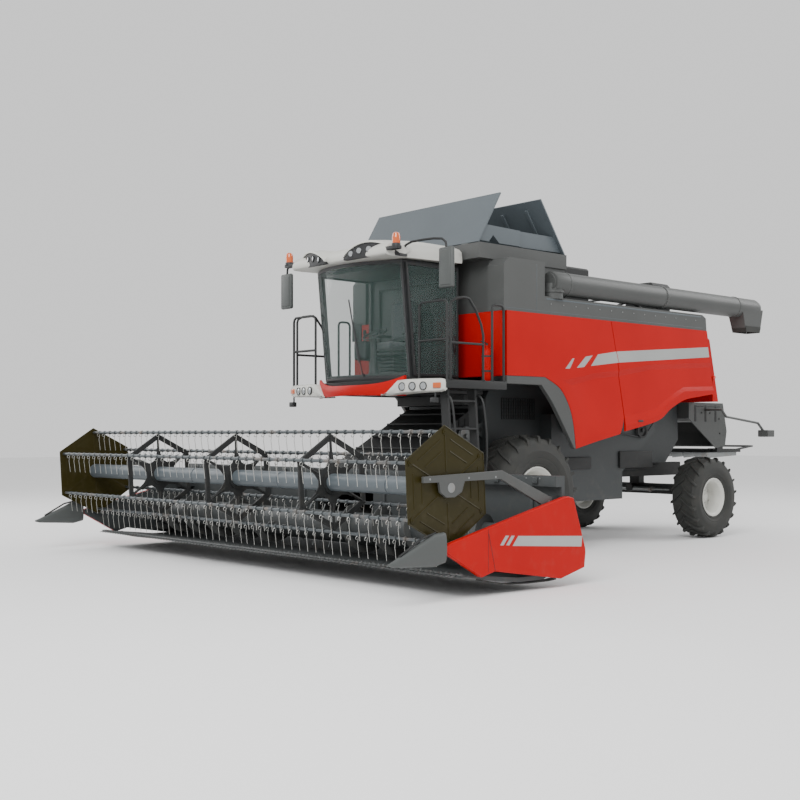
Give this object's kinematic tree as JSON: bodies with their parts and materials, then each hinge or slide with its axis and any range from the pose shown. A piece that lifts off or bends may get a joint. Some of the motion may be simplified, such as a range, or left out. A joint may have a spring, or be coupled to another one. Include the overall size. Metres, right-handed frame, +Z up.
{
  "type": "combine harvester",
  "caption": "Self-propelled combine harvester with grain header, reel, cab, open grain tank and folded unloading auger.",
  "frame": {"origin": "on the ground under the middle of the machine's bounding box", "axes": "+Z up, -Y is the direction of travel, +X is the machine's left side"},
  "size_m": [7.86, 11.697, 5.0316],
  "materials": {
    "frame_black": "satin dark grey paint",
    "body_red": "gloss red paint",
    "body_grey": "satin grey paint",
    "tank_blue_grey": "satin blue-grey paint",
    "rim_white": "gloss off-white paint",
    "tyre_rubber": "lugged farm tyre",
    "cab_glass": "tinted green-grey glass",
    "roof_moulding": "off-white moulding",
    "cab_plastic": "dark textured moulding",
    "seat_fabric": "dark woven cloth",
    "reel_shield": "dark olive pressed sheet",
    "bright_steel": "worn bright steel",
    "cast_block": "plain casting"
  },
  "bodies": {
    "chassis": {"chassis_frame": "frame_black", "front_axle": "frame_black", "rear_axle": "frame_black", "separator_housing": "frame_black", "engine_block": "cast_block", "grain_tank": "body_grey", "upper_casing_left": "body_grey", "upper_casing_right": "body_grey", "front_wall": "body_red", "engine_deck": "body_grey", "straw_hood": "frame_black", "rear_hood": "body_red", "tailboard": "frame_black", "cab_shell": "cab_plastic", "right_window": "cab_glass", "windscreen": "cab_glass", "cab_roof": "roof_moulding", "driver_seat": "seat_fabric", "steering_column": "cab_plastic", "front_valance": "body_red", "platform_left": "frame_black", "platform_right": "frame_black"},
    "front_wheel_left": {"front_tyre_left": "tyre_rubber", "front_rim_left": "rim_white"},
    "front_wheel_right": {"front_tyre_right": "tyre_rubber", "front_rim_right": "rim_white"},
    "rear_steer_left": {"rear_knuckle_left": "frame_black"},
    "rear_wheel_left": {"rear_tyre_left": "tyre_rubber", "rear_rim_left": "rim_white"},
    "rear_steer_right": {"rear_knuckle_right": "frame_black"},
    "rear_wheel_right": {"rear_tyre_right": "tyre_rubber", "rear_rim_right": "rim_white"},
    "side_panel_front_left": {"side_panel_front_left": "body_red"},
    "side_panel_rear_left": {"side_panel_rear_left": "body_red"},
    "side_panel_front_right": {"side_panel_front_right": "body_red"},
    "side_panel_rear_right": {"side_panel_rear_right": "body_red"},
    "cab_door": {"cab_door": "cab_glass"},
    "boarding_ladder": {"boarding_ladder": "frame_black"},
    "chopper": {"chopper_rotor": "bright_steel"},
    "unloader": {"unloading_auger": "tank_blue_grey"},
    "tank_lid_front": {"tank_lid_front": "tank_blue_grey"},
    "tank_lid_rear": {"tank_lid_rear": "tank_blue_grey"},
    "header": {"feeder_house": "frame_black", "header_frame": "body_grey", "end_panel_left": "body_red", "end_panel_right": "body_red", "crop_divider_left": "body_grey", "crop_divider_right": "body_grey"},
    "intake": {"intake_auger": "bright_steel"},
    "reel_arms": {"reel_arm_left": "body_grey", "reel_arm_right": "body_grey"},
    "reel": {"reel_rotor": "reel_shield"},
    "tine_bar_1": {"tine_bar_1": "bright_steel"},
    "tine_bar_2": {"tine_bar_2": "bright_steel"},
    "tine_bar_3": {"tine_bar_3": "bright_steel"},
    "tine_bar_4": {"tine_bar_4": "bright_steel"},
    "tine_bar_5": {"tine_bar_5": "bright_steel"},
    "tine_bar_6": {"tine_bar_6": "bright_steel"}
  },
  "joints": [
    {"name": "front_wheel_left_spin", "type": "hinge", "parent": "chassis", "child": "front_wheel_left", "pos_m": [1.25, -1, 0.84], "axis": [1, 0, 0], "continuous": true},
    {"name": "front_wheel_right_spin", "type": "hinge", "parent": "chassis", "child": "front_wheel_right", "pos_m": [-1.25, -1, 0.84], "axis": [1, 0, 0], "continuous": true},
    {"name": "rear_steer_left", "type": "hinge", "parent": "chassis", "child": "rear_steer_left", "pos_m": [1.03, 3.3, 0.66], "axis": [0, 0, 1], "range_deg": [-30, 30]},
    {"name": "rear_wheel_left_spin", "type": "hinge", "parent": "rear_steer_left", "child": "rear_wheel_left", "pos_m": [1.344, 3.3, 0.66], "axis": [1, 0, 0], "continuous": true},
    {"name": "rear_steer_right", "type": "hinge", "parent": "chassis", "child": "rear_steer_right", "pos_m": [-1.03, 3.3, 0.66], "axis": [0, 0, 1], "range_deg": [-30, 30]},
    {"name": "rear_wheel_right_spin", "type": "hinge", "parent": "rear_steer_right", "child": "rear_wheel_right", "pos_m": [-1.344, 3.3, 0.66], "axis": [1, 0, 0], "continuous": true},
    {"name": "side_panel_front_left_lift", "type": "hinge", "parent": "chassis", "child": "side_panel_front_left", "pos_m": [1.59, -1, 3.3497], "axis": [0, -1, 0], "range_deg": [0, 70]},
    {"name": "side_panel_rear_left_lift", "type": "hinge", "parent": "chassis", "child": "side_panel_rear_left", "pos_m": [1.59, 1.8, 3.3497], "axis": [0, -1, 0], "range_deg": [0, 70]},
    {"name": "side_panel_front_right_lift", "type": "hinge", "parent": "chassis", "child": "side_panel_front_right", "pos_m": [-1.59, -1, 3.3497], "axis": [0, 1, 0], "range_deg": [0, 70]},
    {"name": "side_panel_rear_right_lift", "type": "hinge", "parent": "chassis", "child": "side_panel_rear_right", "pos_m": [-1.59, 1.8, 3.3497], "axis": [0, 1, 0], "range_deg": [0, 70]},
    {"name": "cab_door_swing", "type": "hinge", "parent": "chassis", "child": "cab_door", "pos_m": [0.92, -2.982, 3.2], "axis": [0, 0, -1], "range_deg": [0, 38]},
    {"name": "boarding_ladder_swing", "type": "hinge", "parent": "chassis", "child": "boarding_ladder", "pos_m": [1.49, -2.28, 1.5], "axis": [0, 0, 1], "range_deg": [0, 80]},
    {"name": "chopper_spin", "type": "hinge", "parent": "chassis", "child": "chopper", "pos_m": [0, 3.95, 1.98], "axis": [1, 0, 0], "continuous": true},
    {"name": "unloader_swing", "type": "hinge", "parent": "chassis", "child": "unloader", "pos_m": [1.49, -0.65, 3.8], "axis": [0, 0, -1], "range_deg": [0, 100]},
    {"name": "tank_lid_front_fold", "type": "hinge", "parent": "chassis", "child": "tank_lid_front", "pos_m": [0, -1.915, 4.2803], "axis": [-1, 0, 0], "range_deg": [0, 58]},
    {"name": "tank_lid_rear_fold", "type": "hinge", "parent": "chassis", "child": "tank_lid_rear", "pos_m": [0, -0.145, 4.2803], "axis": [1, 0, 0], "range_deg": [0, 54]},
    {"name": "header_lift", "type": "hinge", "parent": "chassis", "child": "header", "pos_m": [0, -1.35, 1.75], "axis": [-1, 0, 0], "range_deg": [-1, 18]},
    {"name": "intake_spin", "type": "hinge", "parent": "header", "child": "intake", "pos_m": [0, -3.78, 0.5], "axis": [1, 0, 0], "continuous": true},
    {"name": "reel_lift", "type": "hinge", "parent": "header", "child": "reel_arms", "pos_m": [0, -3.45, 0.93], "axis": [-1, 0, 0], "range_deg": [0, 20]},
    {"name": "reel_spin", "type": "hinge", "parent": "reel_arms", "child": "reel", "pos_m": [0, -4.953, 1.141], "axis": [1, 0, 0], "continuous": true},
    {"name": "tine_bar_1_turn", "type": "hinge", "parent": "reel", "child": "tine_bar_1", "pos_m": [0, -4.47688, 1.45256], "axis": [1, 0, 0], "continuous": true},
    {"name": "tine_bar_2_turn", "type": "hinge", "parent": "reel", "child": "tine_bar_2", "pos_m": [0, -4.98476, 1.70911], "axis": [1, 0, 0], "continuous": true},
    {"name": "tine_bar_3_turn", "type": "hinge", "parent": "reel", "child": "tine_bar_3", "pos_m": [0, -5.46088, 1.39755], "axis": [1, 0, 0], "continuous": true},
    {"name": "tine_bar_4_turn", "type": "hinge", "parent": "reel", "child": "tine_bar_4", "pos_m": [0, -5.42912, 0.82944], "axis": [1, 0, 0], "continuous": true},
    {"name": "tine_bar_5_turn", "type": "hinge", "parent": "reel", "child": "tine_bar_5", "pos_m": [0, -4.92124, 0.57289], "axis": [1, 0, 0], "continuous": true},
    {"name": "tine_bar_6_turn", "type": "hinge", "parent": "reel", "child": "tine_bar_6", "pos_m": [0, -4.44512, 0.88445], "axis": [1, 0, 0], "continuous": true}
  ],
  "couplings": [
    {"joint": "rear_steer_right", "follows": "rear_steer_left", "ratio": 1},
    {"joint": "tine_bar_1_turn", "follows": "reel_spin", "ratio": -1},
    {"joint": "tine_bar_2_turn", "follows": "reel_spin", "ratio": -1},
    {"joint": "tine_bar_3_turn", "follows": "reel_spin", "ratio": -1},
    {"joint": "tine_bar_4_turn", "follows": "reel_spin", "ratio": -1},
    {"joint": "tine_bar_5_turn", "follows": "reel_spin", "ratio": -1},
    {"joint": "tine_bar_6_turn", "follows": "reel_spin", "ratio": -1}
  ]
}
